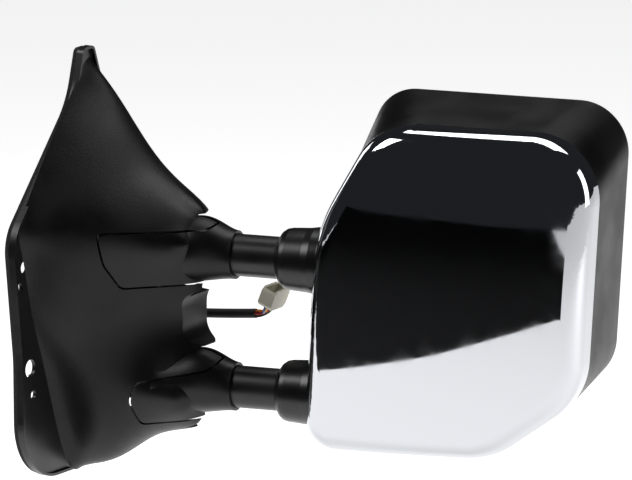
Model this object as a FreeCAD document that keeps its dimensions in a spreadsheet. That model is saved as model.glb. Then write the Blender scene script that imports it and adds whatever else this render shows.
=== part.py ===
"""Telescoping door mirror for a pickup: base, folding twin arms and sliding mirror head.

Row frame: X = 0 is the mounting face, +X points outboard, +Y rearward and +Z up.
The origin is the middle of the stud pattern.  Arm frame: its origin is the fold axis, its X
runs along the arms, and it stands turned from the row frame by the sizes' arm_sweep.
"""
import FreeCAD, Part
import math
import os

import Sketcher

Vec = FreeCAD.Vector
DOC = FreeCAD.newDocument("door_mirror")
SHEET = DOC.addObject("Spreadsheet::Sheet", "sizes")
NODES = []

# ---------------------------------------------------------------- driving dimensions, mm
SIZES = {
    # base
    "base_height": 340, "base_depth": 130, "gasket_thick": 4, "gasket_band": 8,
    "plate_thick": 3, "rim_rise": 3, "rim_wall": 2.2, "rim_gap": 1, "shell_wall": 3, "shell_reach": 127,
    "shell_end_round": 8, "stud_gap_y": 60, "stud_gap_z": 136, "stud_radius": 4, "stud_seat_radius": 4.6,
    "stud_stand": 18, "stud_head_radius": 7, "stud_head_thick": 3,
    "locator_radius": 7.4, "window_hole_radius": 5.2, "screw_hole_radius": 3.7,
    "cable_y": 17, "cable_z": -14, "cable_radius": 4, "cable_play": 0.15, "grommet_radius": 8.5,
    "grommet_back": 12, "grommet_flange": 2.5, "grommet_lip": 2.5,
    "shell_screw_radius": 2, "shell_screw_length": 10, "boss_radius": 5, "boss_length": 14,
    # fold hinge
    "fold_x": 50, "fold_y": -10, "arm_sweep": 10, "pin_radius": 5, "knuckle_radius": 13,
    "knuckle_half": 15, "ear_thick": 8, "ear_half": 11, "washer_thick": 2, "washer_gap": 0.6,
    "hinge_play": 0.05, "bush_wall": 2, "bracket_wall": 5, "bracket_half": 12,
    "pin_head_radius": 9, "pin_head_thick": 3, "nut_length": 6, "nut_radius": 8.5,
    "spring_count": 4, "spring_radius": 9, "spring_thick": 1.2,
    "bolt_radius": 3, "bolt_head_radius": 5, "bolt_head_thick": 3,
    # arms
    "upper_arm": 46, "lower_arm": -62, "tube_radius": 17, "tube_wall": 2, "tube_start": 58,
    "socket_radius": 19, "socket_start": 48, "socket_end": 88,
    "neck_half_width": 11, "neck_half_height": 14, "cover_wall": 2.2, "cover_gap": 1.6,
    "nose_start": 99, "slot_below": 37, "slot_above": 31, "slot_lead": 2, "slot_angle": 106, "seat_fit": 0.05,
    "rear_cover_start": 41, "tie_start": 22, "tie_length": 17,
    "tie_half": 4, "cross_pin_radius": 3, "cross_pin_at": 72,
    # head
    "head_left": 162, "head_width": 255, "head_bottom": -104, "head_height": 283,
    "parting": -8, "head_rim": 60, "cap_front": -50, "cap_wall": 2.5, "cap_gap": 0.6,
    "cap_round": 18, "face_radius": 650, "housing_wall": 3, "extension": 85, "end_play": 1,
    "collar_start": 144, "collar_end": 190, "collar_tip": 19.8, "collar_waist": 25,
    "collar_root": 27, "collar_play": 0.6,
    "sleeve_radius": 22, "bush_radius": 19, "sleeve_end": 232, "slide_play": 0.06,
    "bush_length": 14, "frame_front": 20, "frame_thick": 4, "bar_left": 222, "bar_width": 34,
    "beam_half": 13, "stop_length": 7, "stop_radius": 19.4,
    "housing_boss_radius": 5, "housing_boss_start": -2, "housing_screw_radius": 2,
    "housing_screw_length": 12,
    # mirror glasses
    "bezel_width": 6, "bezel_front": 46, "bezel_back": 58, "glass_gap": 4, "divider_z": -34,
    "divider_half": 6, "glass_back": 51, "backing_thick": 2.5, "heater_thick": 0.6,
    "glass_thick": 2.4, "glass_x": 296, "glass_z": 70,
    "case_half": 36, "case_depth": 15, "case_wall": 1.5,
    "ball_y": 45, "main_ball": 8, "gimbal_wall": 3.5, "ball_play": 0.3, "gimbal_half": 4,
    "gimbal_pin": 1.2, "stem_radius": 4, "hub_wall": 3, "hub_ahead": 2.6,
    "lever": 26, "screw_radius": 2.5, "screw_ball": 3.5, "screw_room": 0.8, "cup_wall": 1.6,
    "wheel_radius": 6.5, "wheel_thick": 5, "worm_radius": 2.5, "worm_length": 9,
    "worm_gap": 0.3, "drive_gap": 1, "screw_tail": 3, "shaft_radius": 1, "motor_radius": 5.5, "motor_length": 19,
    "spot_x": 268, "spot_z": -68, "spot_ball": 6, "spot_bulge": 700,
    # harness
    "plug_length": 17, "plug_width": 24, "plug_thick": 13, "plug_tilt": 22, "wire_radius": 0.9,
    "clip_wall": 1.6, "clip_width": 10,
}
for row, (alias, value) in enumerate(SIZES.items(), start=1):
    SHEET.set("A%d" % row, alias)
    SHEET.set("B%d" % row, str(value))
    SHEET.setAlias("B%d" % row, alias)
DOC.recompute()


def size(alias):
    """The sheet's present value of one driving dimension."""
    return float(SHEET.get(alias))


def expr(text):
    """An expression on the sheet: every alias in text gets the sheet's name in front."""
    words = []
    for word in text.replace("(", " ( ").replace(")", " ) ").split():
        words.append("sizes." + word if word in SIZES else word)
    return " ".join(words)


# ---------------------------------------------------------------- frames
ROW = FreeCAD.Placement()
ARM = FreeCAD.Placement(Vec(size("fold_x"), size("fold_y"), 0),
                        FreeCAD.Rotation(Vec(0, 0, 1), size("arm_sweep")))
TURNS = {
    "+Z": FreeCAD.Rotation(),
    "-Z": FreeCAD.Rotation(Vec(1, 0, 0), 180),
    "+X": FreeCAD.Rotation(Vec(0, 1, 0), 90),
    "-X": FreeCAD.Rotation(Vec(0, 1, 0), -90),
    "+Y": FreeCAD.Rotation(Vec(1, 0, 0), -90),
    "-Y": FreeCAD.Rotation(Vec(1, 0, 0), 90),
}


# ---------------------------------------------------------------- document helpers
def place(obj, at, axis="+Z"):
    """Turn an object's own Z to axis and bind its position to the sheet."""
    obj.Placement = FreeCAD.Placement(Vec(), TURNS[axis])
    for letter, text in zip("xyz", at):
        obj.setExpression("Placement.Base." + letter, expr(text))
    return obj


def block(name, lengths, at):
    """A box whose lengths and low corner are expressions on the sheet."""
    obj = DOC.addObject("Part::Box", name)
    for prop, text in zip(("Length", "Width", "Height"), lengths):
        obj.setExpression(prop, expr(text))
    return place(obj, at)


def rod(name, radius, length, at, axis="+Z"):
    """A cylinder from at along axis."""
    obj = DOC.addObject("Part::Cylinder", name)
    obj.setExpression("Radius", expr(radius))
    obj.setExpression("Height", expr(length))
    return place(obj, at, axis)


def ball(name, radius, at):
    """A sphere about at."""
    obj = DOC.addObject("Part::Sphere", name)
    obj.setExpression("Radius", expr(radius))
    return place(obj, at)


def hexagon(name, radius, length, at, axis="+Z"):
    """A hexagonal prism from at along axis."""
    obj = DOC.addObject("Part::Prism", name)
    obj.Polygon = 6
    obj.setExpression("Circumradius", expr(radius))
    obj.setExpression("Height", expr(length))
    return place(obj, at, axis)


def joined(name, parts):
    """The union of several objects."""
    obj = DOC.addObject("Part::MultiFuse", name)
    obj.Shapes = parts
    return obj


def cut(name, base, tools):
    """base with every tool taken away."""
    obj = DOC.addObject("Part::Cut", name)
    obj.Base = base
    obj.Tool = tools[0] if len(tools) == 1 else joined(name + "_tools", tools)
    return obj


def shaped(name, shape):
    """A document object that holds a shape made with Part's own functions."""
    obj = DOC.addObject("Part::Feature", name)
    obj.Shape = shape
    return obj


def node(obj, label, frame=ROW):
    """Name a finished sub-part and stand it in its frame."""
    obj.Label = label
    obj.Placement = frame.multiply(obj.Placement)
    NODES.append(obj)
    return obj


def group(label, parts, frame=ROW):
    """Several separate solids of one kind that share a node."""
    obj = DOC.addObject("Part::Compound", label + "_set")
    obj.Links = parts
    return node(obj, label, frame)


def origin_plane(body, role):
    """A body's own origin plane, found by its role."""
    return next(item for item in body.Origin.OriginFeatures if item.Role == role)


def turned(name, profile, at, axis="+Z"):
    """A PartDesign body turned about its own Z.

    profile is a closed list of (radius, height) expressions, none of them negative.
    """
    body = DOC.addObject("PartDesign::Body", name)
    sketch = body.newObject("Sketcher::SketchObject", name + "_profile")
    sketch.AttachmentSupport = [(origin_plane(body, "XZ_Plane"), "")]
    sketch.MapMode = "FlatFace"
    spots = [Vec(measure(r), measure(z), 0) for r, z in profile]
    last = len(spots) - 1
    for i, spot in enumerate(spots):
        sketch.addGeometry(Part.LineSegment(spot, spots[0 if i == last else i + 1]), False)
    for i in range(last):
        sketch.addConstraint(Sketcher.Constraint("Coincident", i, 2, i + 1, 1))
    sketch.addConstraint(Sketcher.Constraint("Coincident", last, 2, 0, 1))
    for i, (radius, height) in enumerate(profile):
        bind(sketch, "DistanceX", -2, i, radius)
        bind(sketch, "DistanceY", -1, i, height)
    turn = body.newObject("PartDesign::Revolution", name + "_turn")
    turn.Profile = sketch
    turn.ReferenceAxis = (sketch, ["V_Axis"])
    turn.Angle = 360
    return place(body, at, axis)


def measure(text):
    """The value of an expression on the sheet, as a plain number."""
    words = [str(size(word)) if word in SIZES else word
             for word in text.replace("(", " ( ").replace(")", " ) ").split()]
    return float(FreeCAD.Units.parseQuantity(" ".join(words)).Value)


def bind(sketch, kind, axis, line, text):
    """Hold one end of a sketch line at a distance bound to the sheet."""
    value = measure(text)
    if value == 0:
        sketch.addConstraint(Sketcher.Constraint("PointOnObject", line, 1, axis))
        return
    index = sketch.addConstraint(Sketcher.Constraint(kind, -1, 1, line, 1, value))
    sketch.setExpression("Constraints[%d]" % index, expr(text))


def ring(name, outer, inner, length, at, axis="+Z"):
    """A turned ring: a bush, a washer or a tube."""
    profile = [(inner, "0"), (outer, "0"), (outer, length), (inner, length)]
    return turned(name, profile, at, axis)


def bolt(name, radius, length, head_radius, head_thick, at, axis):
    """A turned bolt: head at the start, shank running on along axis."""
    profile = [("0", "0"), (head_radius, "0"), (head_radius, head_thick),
               (radius, head_thick), (radius, "%s + %s" % (head_thick, length)),
               ("0", "%s + %s" % (head_thick, length))]
    return turned(name, profile, at, axis)


# ---------------------------------------------------------------- outline helpers
def rounded(points, radii, lift):
    """A closed wire of straight runs and tangent arcs; lift turns (a, b) into a point."""
    count = len(points)
    arcs = []
    for i, (a, b) in enumerate(points):
        corner = Vec(a, b, 0)
        back = (Vec(*points[i - 1], 0) - corner).normalize()
        ahead = (Vec(*points[(i + 1) % count], 0) - corner).normalize()
        half = back.getAngle(ahead) / 2
        reach = radii[i] / math.tan(half)
        middle = (back + ahead).normalize()
        centre = corner + middle * (radii[i] / math.sin(half))
        arcs.append((corner + back * reach, centre - middle * radii[i], corner + ahead * reach))
    edges = []
    for i, (start, middle, end) in enumerate(arcs):
        edges.append(Part.Arc(lift(start), lift(middle), lift(end)).toShape())
        edges.append(Part.LineSegment(lift(end), lift(arcs[(i + 1) % count][0])).toShape())
    return Part.Wire(edges)


def inset(points, depth):
    """A polygon, listed anticlockwise, with every side moved in by depth."""
    count = len(points)
    sides = []
    for i, (a, b) in enumerate(points):
        start = Vec(a, b, 0)
        along = (Vec(*points[(i + 1) % count], 0) - start).normalize()
        sides.append((start + Vec(-along.y, along.x, 0) * depth, along))
    corners = []
    for i in range(count):
        (p, u), (q, v) = sides[i - 1], sides[i]
        cross = u.x * v.y - u.y * v.x
        step = ((q.x - p.x) * v.y - (q.y - p.y) * v.x) / cross
        corners.append((p.x + u.x * step, p.y + u.y * step))
    return corners


def at_x(x):
    """Lift an outline point (y, z) to the plane at x."""
    return lambda p: Vec(x, p.x, p.y)


def at_y(y):
    """Lift an outline point (x, z) to the plane at y."""
    return lambda p: Vec(p.x, y, p.y)


def smooth_loop(points, x, depth):
    """A closed smooth curve through (y, z) points at x, drawn in by depth."""
    count = len(points)
    spots = [Vec(x, y, z) for y, z in points]
    even = [i / count for i in range(count + 1)]
    curve = Part.BSplineCurve()
    curve.interpolate(Points=spots, PeriodicFlag=True, Parameters=even)
    if depth:
        moved = []
        for i, spot in enumerate(spots):
            along = curve.tangent(even[i])[0]
            moved.append(spot + along.cross(Vec(1, 0, 0)).normalize() * depth)
        curve.interpolate(Points=moved, PeriodicFlag=True, Parameters=even)
    return Part.Wire([curve.toShape()])


# Longer than anything in the mirror, for tools that cut right through.
FAR = 200


# ---------------------------------------------------------------- base
# The base's outlines are drawn 340 mm tall and 130 mm deep, with the arms 46 mm above and
# 62 mm below the studs' middle; these functions stretch them to the sheet's sizes.
DRAWN_HEIGHT = 340
DRAWN_DEPTH = 130
DRAWN_UPPER = 46
DRAWN_LOWER = -62


def tall(z):
    """A drawn height: above and below the arms it stretches with the base's height."""
    stretch = size("base_height") / DRAWN_HEIGHT
    if z > DRAWN_UPPER:
        return size("upper_arm") + (z - DRAWN_UPPER) * stretch
    if z < DRAWN_LOWER:
        return size("lower_arm") + (z - DRAWN_LOWER) * stretch
    share = (z - DRAWN_LOWER) / (DRAWN_UPPER - DRAWN_LOWER)
    return size("lower_arm") + share * (size("upper_arm") - size("lower_arm"))


def deep(y):
    """A drawn depth, stretched with the base's depth."""
    return y * size("base_depth") / DRAWN_DEPTH


def drawn(points):
    """Drawn (y, z) points at the sheet's sizes."""
    return [(deep(y), tall(z)) for y, z in points]


PLATE_OUTLINE = [(11, 200), (-2, 158), (-98, 62), (-85, -40), (-84, -143), (47, -145), (47, 150),
                 (27, 200)]
PLATE_RADII = [6, 70, 34, 120, 52, 14, 60, 6]
# Closed sections of the sail-shaped shell at five stations outward from the plate, each as
# (y, z) from the crest down the rear, under the bottom and up the front.
SHELL_STATIONS = [0, 23, 53, 88, 115]
SHELL_SECTIONS = [
    [(22, 190), (37, 150), (43, 60), (43, -8), (43, -70), (42, -130), (18, -143),
     (-14, -136), (-47, -55), (-66, -5), (-80, 45), (-79, 77), (-31, 136), (6, 176)],
    [(30, 160), (40, 125), (42, 60), (42, -8), (42, -70), (40, -118), (16, -138),
     (-12, -124), (-38, -60), (-56, -8), (-68, 42), (-66, 76), (-28, 122), (8, 152)],
    [(26, 124), (38, 100), (41, 50), (41, -8), (41, -66), (38, -104), (14, -122),
     (-16, -108), (-33, -62), (-38, -8), (-54, 44), (-48, 76), (-22, 102), (4, 120)],
    [(20, 96), (34, 82), (38, 48), (36, -8), (38, -62), (32, -92), (10, -105),
     (-14, -94), (-26, -62), (-16, -8), (-36, 46), (-30, 72), (-12, 88), (4, 95)],
    [(12, 80), (26, 70), (31, 46), (26, -8), (31, -62), (26, -82), (8, -96),
     (-12, -86), (-22, -62), (2, -8), (-24, 46), (-18, 66), (-7, 75), (2, 79)],
]
# The horn that each arm comes out of: along the arm, rise over its axis, half width, half height.
HORN_STATIONS = [(40, 2, 24, 25), (65, 2, 25, 26), (85, 3, 23, 25), (98, 1, 20.5, 21),
                 (106, 0, 19.6, 19.6)]
HORN_POINTS = 12
# The arm covers' outlines, along the arm and over its axis, anticlockwise from lower right.
UPPER_COVER = [(101, 36), (88, 20.5), (4, 17), (8, -8), (18, -28), (101, -21.5)]
LOWER_COVER = [(101, 34), (92, 15.5), (58, 8), (28, 0.5), (21, -15), (28, -34.5), (101, -22)]
COVER_CORNER = 3
COVER_RADII = {"upper": [3, 16, 4, 12, 6, 1], "lower": [3, 16, 40, 7, 12, 5, 1]}
# The bay between the arms in the shell's outer end, as (x, z), anticlockwise.
WEB_NOTCH = [(112, -25), (150, -38), (150, 24), (112, 10)]
WEB_RADII = [14, 1, 1, 14]
PLATE_HOLES = [("window_hole_radius", -78, 67), ("window_hole_radius", -77, 35.5),
               ("screw_hole_radius", -84, 20), ("locator_radius", -69, -49),
               ("screw_hole_radius", -64.5, -71.5)]
SHELL_BOSSES = [(30, 128), (33, -112), (-62, 62), (-4, -106)]
BRACKET_BOLTS = [(-1, 50), (1, 50), (-1, -66), (1, -66)]
PLATE_FACE = "( gasket_thick + plate_thick )"
STUD_SIGNS = [(-1, -1), (-1, 1), (1, -1), (1, 1)]


def plate_slab(start, end, depth):
    """The plate's outline, drawn in by depth, from x = start to x = end."""
    face = Part.Face(rounded(drawn(PLATE_OUTLINE), PLATE_RADII, at_x(start)))
    if depth:
        face = face.makeOffset2D(-depth)
    return face.extrude(Vec(end - start, 0, 0))


def drill(x, y, z, radius, length):
    """A round hole along +X."""
    return Part.makeCylinder(radius, length, Vec(x, y, z), Vec(1, 0, 0))


def plate_drills(spare):
    """Every hole through the plate, each spare wider in radius."""
    thick = size("gasket_thick") + size("plate_thick") + size("rim_rise")
    holes = [drill(-1, deep(y), tall(z), size(r) + spare, thick + 1) for r, y, z in PLATE_HOLES]
    for y_sign, z_sign in STUD_SIGNS:
        holes.append(drill(-1, y_sign * size("stud_gap_y") / 2, z_sign * size("stud_gap_z") / 2,
                           size("stud_seat_radius") + size("seat_fit") + spare, thick))
    return holes


def make_plate():
    """The stamped mounting plate with its raised rim."""
    back = size("gasket_thick")
    face = back + size("plate_thick")
    rise = face + size("rim_rise")
    plate = plate_slab(back, face, 0)
    rim = plate_slab(face, rise, 0).cut(plate_slab(face, rise, size("rim_wall")))
    foot = smooth_loop(drawn(SHELL_SECTIONS[0]), face, -size("rim_gap"))
    stand = Part.Face(foot).extrude(Vec(size("rim_rise"), 0, 0))
    plate = plate.fuse(rim.cut(stand))
    tools = plate_drills(0)
    tools.append(drill(-1, size("cable_y"), size("cable_z"), size("grommet_radius"), rise + 1))
    for y, z in SHELL_BOSSES:
        tools.append(drill(-1, deep(y), tall(z), size("shell_screw_radius") + size("seat_fit"),
                           rise + 1))
    for side, z in BRACKET_BOLTS:
        y = size("fold_y") + side * (size("bracket_half") - size("bolt_head_radius"))
        tools.append(drill(-1, y, tall(z), size("bolt_radius") + size("seat_fit"), rise + 1))
    node(shaped("plate", plate.cut(tools).removeSplitter()), "base_plate")


def make_gasket():
    """The foam seal that the plate clamps against the door."""
    thick = size("gasket_thick")
    band = plate_slab(0, thick, 1).cut(plate_slab(0, thick, 1 + size("gasket_band")))
    bosses = [drill(0, deep(y), tall(z), size("shell_screw_radius") + size("bolt_head_thick"),
                    thick) for y, z in SHELL_BOSSES]
    node(shaped("gasket", band.cut(plate_drills(1) + bosses)), "base_gasket")


def sail(depth):
    """The sail-shaped body of the shell, drawn in by depth."""
    start = size("gasket_thick") + size("plate_thick")
    reach = size("shell_reach") - SHELL_STATIONS[-1] - start
    loops = []
    for station, points in zip(SHELL_STATIONS, SHELL_SECTIONS):
        loops.append(smooth_loop(drawn(points), start + station, depth))
    if depth == 0:
        loops.append(smooth_loop(drawn(SHELL_SECTIONS[-1]), start + station + reach,
                                 size("shell_end_round")))
    return Part.makeLoft(loops, True, False)


def horn(arm, depth):
    """The horn around one arm, drawn in by depth, standing in the arm frame."""
    loops = []
    for along, rise, half_width, half_height in HORN_STATIONS:
        points = []
        for i in range(HORN_POINTS):
            turn = 2 * math.pi * i / HORN_POINTS
            points.append(((half_width - depth) * math.sin(turn),
                           size(arm) + rise + (half_height - depth) * math.cos(turn)))
        loops.append(smooth_loop(points, along, 0))
    solid = Part.makeLoft(loops, True, False)
    solid.Placement = ARM
    return solid


def web_notch(grow):
    """The rounded bay in the shell's outer end between the arms, grown by a wall."""
    points = inset([(a, tall(b)) for a, b in WEB_NOTCH], -grow)
    radii = [radius + grow for radius in WEB_RADII]
    wire = rounded(points, radii, at_y(-FAR))
    return Part.Face(wire).extrude(Vec(0, 2 * FAR, 0))


def skin():
    """The whole outer skin of shell and arm covers, before it is parted."""
    arms = ("upper_arm", "lower_arm")
    wall = size("shell_wall")
    outer = sail(0).cut(web_notch(0)).fuse([horn(arm, 0) for arm in arms])
    inner = sail(wall).cut(web_notch(wall))
    inner = inner.fuse([horn(arm, size("cover_wall")) for arm in arms])
    return outer, outer.cut(inner)


def in_arm(shape):
    """Stand a shape drawn in the arm frame where the arms stand."""
    shape.Placement = ARM.multiply(shape.Placement)
    return shape


def arm_box(low, high):
    """A box in the arm frame between two corners."""
    lengths = [b - a for a, b in zip(low, high)]
    return in_arm(Part.makeBox(*lengths, Vec(*low)))


def cover_window(side, grow):
    """The part of the skin that swings with one arm, grown by a gap."""
    axis = size(side + "_arm")
    outline = UPPER_COVER if side == "upper" else LOWER_COVER
    points = inset([(a, axis + b) for a, b in outline], -grow)
    face = Part.Face(rounded(points, COVER_RADII[side], at_y(-FAR)))
    window = in_arm(face.extrude(Vec(0, FAR, 0)))
    half = size("slot_below") + grow
    nose = arm_box((size("nose_start") - grow, -FAR, axis - half), (FAR, FAR, axis + half))
    return window.fuse(nose)


def swing_slot(side):
    """The opening at the rear of the shell that one arm folds into."""
    axis = size(side + "_arm")
    height = size("slot_below") + size("slot_above")
    lead = size("slot_lead")
    sector = Part.makeCylinder(FAR, height, Vec(0, 0, axis - size("slot_below")),
                               Vec(0, 0, 1), size("slot_angle") + lead)
    sector.rotate(Vec(0, 0, 0), Vec(0, 0, 1), -lead)
    return in_arm(sector)


def make_shell_and_covers():
    """The textured shell, and the arm covers parted from the same skin."""
    outer, layer = skin()
    start = size("gasket_thick") + size("plate_thick")
    shell = layer
    for side in ("upper", "lower"):
        shell = shell.cut(cover_window(side, size("cover_gap"))).cut(swing_slot(side))
    for y, z in SHELL_BOSSES:
        boss = drill(start, deep(y), tall(z), size("boss_radius"), size("boss_length"))
        shell = shell.fuse(boss.common(outer))
    for y, z in SHELL_BOSSES:
        shell = shell.cut(drill(start - 1, deep(y), tall(z),
                                size("shell_screw_radius") + size("seat_fit"),
                                size("shell_screw_length") + 1))
    node(shaped("shell", largest(shell)), "base_shell")
    for side in ("upper", "lower"):
        cover = layer.common(cover_window(side, 0))
        node(shaped(side + "_cover", largest(cover)), side + "_arm_cover")


def largest(shape):
    """The biggest solid of a shape."""
    return max(shape.Solids, key=lambda solid: solid.Volume)


def make_rear_covers():
    """The half shells that close the back of each arm."""
    for side in ("upper", "lower"):
        arm = side + "_arm"
        axis = size(arm)
        layer = horn(arm, 0).cut(horn(arm, size("cover_wall")))
        behind = arm_box((size("rear_cover_start"), 0, axis - FAR),
                         (size("nose_start"), FAR, axis + FAR))
        node(shaped(side + "_rear", largest(layer.common(behind))), side + "_rear_cover")


def make_studs():
    """Four shouldered studs pressed through the plate, heads on the shell's side."""
    studs = []
    shoulder = "stud_head_thick + plate_thick + gasket_thick"
    tip = shoulder + " + stud_stand"
    profile = [("0", "0"), ("stud_head_radius", "0"), ("stud_head_radius", "stud_head_thick"),
               ("stud_seat_radius", "stud_head_thick"), ("stud_seat_radius", shoulder),
               ("stud_radius", shoulder), ("stud_radius", tip), ("0", tip)]
    for i, (y_sign, z_sign) in enumerate(STUD_SIGNS):
        at = (PLATE_FACE + " + stud_head_thick", "%d * stud_gap_y / 2" % y_sign,
              "%d * stud_gap_z / 2" % z_sign)
        studs.append(turned("stud_%d" % i, profile, at, "-X"))
    group("mount_studs", studs)


def make_shell_screws():
    """Screws from the back of the plate into the shell's bosses."""
    screws = []
    for i, (y, z) in enumerate(SHELL_BOSSES):
        at = ("gasket_thick - bolt_head_thick", str(deep(y)), str(tall(z)))
        screws.append(bolt("shell_screw_%d" % i, "shell_screw_radius",
                           "plate_thick + shell_screw_length", "shell_screw_radius * 2",
                           "bolt_head_thick", at, "+X"))
    group("shell_screws", screws)


def make_grommet():
    """The rubber grommet that the harness leaves the plate through."""
    waist = "grommet_radius"
    wide = "grommet_radius + grommet_lip"
    back = "grommet_back"
    front = back + " + gasket_thick + plate_thick"
    profile = [("cable_radius", "0"), ("cable_radius + 1.4", "0"), (wide, back + " - 3"),
               (wide, back + " + gasket_thick"), (waist, back + " + gasket_thick"),
               (waist, front), (wide, front), (wide, front + " + grommet_flange"),
               ("cable_radius", front + " + grommet_flange")]
    at = ("0 - grommet_back", "cable_y", "cable_z")
    node(turned("grommet", profile, at, "+X"), "harness_grommet")



# ---------------------------------------------------------------- fold hinge
EAR_START = "( knuckle_half + washer_thick + washer_gap )"


def make_hinge_bracket():
    """The steel bracket whose four ears carry the fold pin."""
    low = "lower_arm - %s - ear_thick" % EAR_START
    high = "upper_arm + %s + ear_thick" % EAR_START
    parts = [block("bracket_back", ("bracket_wall", "bracket_half * 2", "%s - (%s)" % (high, low)),
                   (PLATE_FACE, "fold_y - bracket_half", low))]
    for arm in ("upper_arm", "lower_arm"):
        for i, z in enumerate((arm + " + " + EAR_START, "%s - (%s) - ear_thick" % (arm, EAR_START))):
            name = "%s_ear_%d" % (arm, i)
            parts.append(block(name, ("fold_x - (%s)" % PLATE_FACE, "ear_half * 2", "ear_thick"),
                               (PLATE_FACE, "fold_y - ear_half", z)))
            parts.append(rod(name + "_end", "ear_half", "ear_thick", ("fold_x", "fold_y", z)))
    tools = [rod("pin_bore", "pin_radius + seat_fit", "%s - (%s) + 2" % (high, low),
                 ("fold_x", "fold_y", low + " - 1"))]
    for i, (side, z) in enumerate(BRACKET_BOLTS):
        at = ("0", "fold_y + %d * (bracket_half - bolt_head_radius)" % side, str(tall(z)))
        tools.append(rod("bolt_way_%d" % i, "bolt_radius + seat_fit", "fold_x / 2", at, "+X"))
    node(cut("bracket", joined("bracket_whole", parts), tools), "hinge_bracket")


def make_bracket_bolts():
    """Bolts through bracket and plate, with a nut behind the plate."""
    bolts = []
    for i, (side, z) in enumerate(BRACKET_BOLTS):
        y = "fold_y + %d * (bracket_half - bolt_head_radius)" % side
        start = PLATE_FACE + " + bracket_wall + bolt_head_thick"
        bolts.append(bolt("bracket_bolt_%d" % i, "bolt_radius",
                          "bracket_wall + plate_thick + bolt_head_thick", "bolt_head_radius",
                          "bolt_head_thick", (start, y, str(tall(z))), "-X"))
    group("bracket_bolts", bolts)


def make_fold_pin():
    """The long pin, its disc springs and its nut."""
    start = "lower_arm - (%s) - ear_thick - pin_head_thick" % EAR_START
    top = "upper_arm + %s + ear_thick" % EAR_START
    pack = "spring_count * spring_thick"
    length = "%s - (%s) + %s + nut_length + 2 - pin_head_thick" % (top, start, pack)
    node(bolt("pin", "pin_radius", length, "pin_head_radius", "pin_head_thick",
              ("fold_x", "fold_y", start), "+Z"), "fold_pin")
    springs = []
    for i in range(int(size("spring_count"))):
        springs.append(ring("spring_%d" % i, "spring_radius - %g" % (0.8 * (i % 2)),
                            "pin_radius + seat_fit", "spring_thick",
                            ("fold_x", "fold_y", "%s + %d * spring_thick" % (top, i))))
    group("disc_springs", springs)
    at = ("fold_x", "fold_y", "%s + %s" % (top, pack))
    nut = hexagon("nut_body", "nut_radius", "nut_length", at)
    hole = rod("nut_bore", "pin_radius + seat_fit", "nut_length + 2",
               (at[0], at[1], at[2] + " - 1"))
    node(cut("nut", nut, [hole]), "pin_nut")


def make_pivot_washers():
    """Washers between ears and knuckles."""
    washers = []
    for arm in ("upper_arm", "lower_arm"):
        for i, z in enumerate(("%s + knuckle_half + washer_gap" % arm,
                               "%s - knuckle_half - washer_gap - washer_thick" % arm)):
            washers.append(ring("%s_washer_%d" % (arm, i), "ear_half - 1", "pin_radius + seat_fit",
                                "washer_thick", ("fold_x", "fold_y", z)))
    group("pivot_washers", washers)


# ---------------------------------------------------------------- arms
def make_arm_bracket(side):
    """Knuckle, neck and tube socket of one arm."""
    arm = side + "_arm"
    parts = [rod(side + "_knuckle", "knuckle_radius", "knuckle_half * 2",
                 ("0", "0", arm + " - knuckle_half")),
             block(side + "_neck", ("socket_start", "neck_half_width * 2", "neck_half_height * 2"),
                   ("0", "0 - neck_half_width", arm + " - neck_half_height")),
             rod(side + "_socket", "socket_radius", "socket_end - socket_start",
                 ("socket_start", "0", arm), "+X")]
    tools = [rod(side + "_bush_seat", "pin_radius + hinge_play + bush_wall", "knuckle_half * 2 + 2",
                 ("0", "0", arm + " - knuckle_half - 1")),
             rod(side + "_tube_seat", "tube_radius + seat_fit", "socket_end",
                 ("tube_start", "0", arm), "+X"),
             rod(side + "_cross_way", "cross_pin_radius", "socket_radius * 2 + 2",
                 ("cross_pin_at", "0", arm + " - socket_radius - 1"))]
    whole = joined(side + "_bracket_whole", parts)
    node(cut(side + "_bracket", whole, tools), side + "_arm_bracket", ARM)


def make_arm_fittings():
    """Bushes in the knuckles, the tie between the arms and the pins through the tubes."""
    bushes = []
    pins = []
    for arm in ("upper_arm", "lower_arm"):
        bushes.append(ring(arm + "_bush", "pin_radius + hinge_play + bush_wall",
                           "pin_radius + hinge_play", "knuckle_half * 2",
                           ("0", "0", arm + " - knuckle_half")))
        pins.append(rod(arm + "_cross_pin", "cross_pin_radius", "socket_radius * 2",
                        ("cross_pin_at", "0", arm + " - socket_radius")))
    group("pivot_bushes", bushes, ARM)
    group("tube_cross_pins", pins, ARM)
    low = "lower_arm + neck_half_height"
    tie = block("tie_plate", ("tie_length", "tie_half * 2",
                              "upper_arm - lower_arm - neck_half_height * 2"),
                ("tie_start", "0 - tie_half", low))
    group("arm_tie", [tie], ARM)


TUBE_END = "sleeve_end + extension + stop_length + end_play"


def make_tubes():
    """The two tubes that the mirror head slides on, and the stops at their ends."""
    stops = []
    for side in ("upper", "lower"):
        arm = side + "_arm"
        tube = ring(side + "_pipe", "tube_radius", "tube_radius - tube_wall",
                    TUBE_END + " - tube_start", ("tube_start", "0", arm), "+X")
        way = rod(side + "_pin_way", "cross_pin_radius", "tube_radius * 2 + 2",
                  ("cross_pin_at", "0", arm + " - tube_radius - 1"))
        node(cut(side + "_tube_body", tube, [way]), side + "_tube", ARM)
        stops.append(ring(side + "_stop", "stop_radius", "tube_radius", "stop_length",
                          (TUBE_END + " - stop_length", "0", arm), "+X"))
    group("tube_end_stops", stops, ARM)


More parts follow.
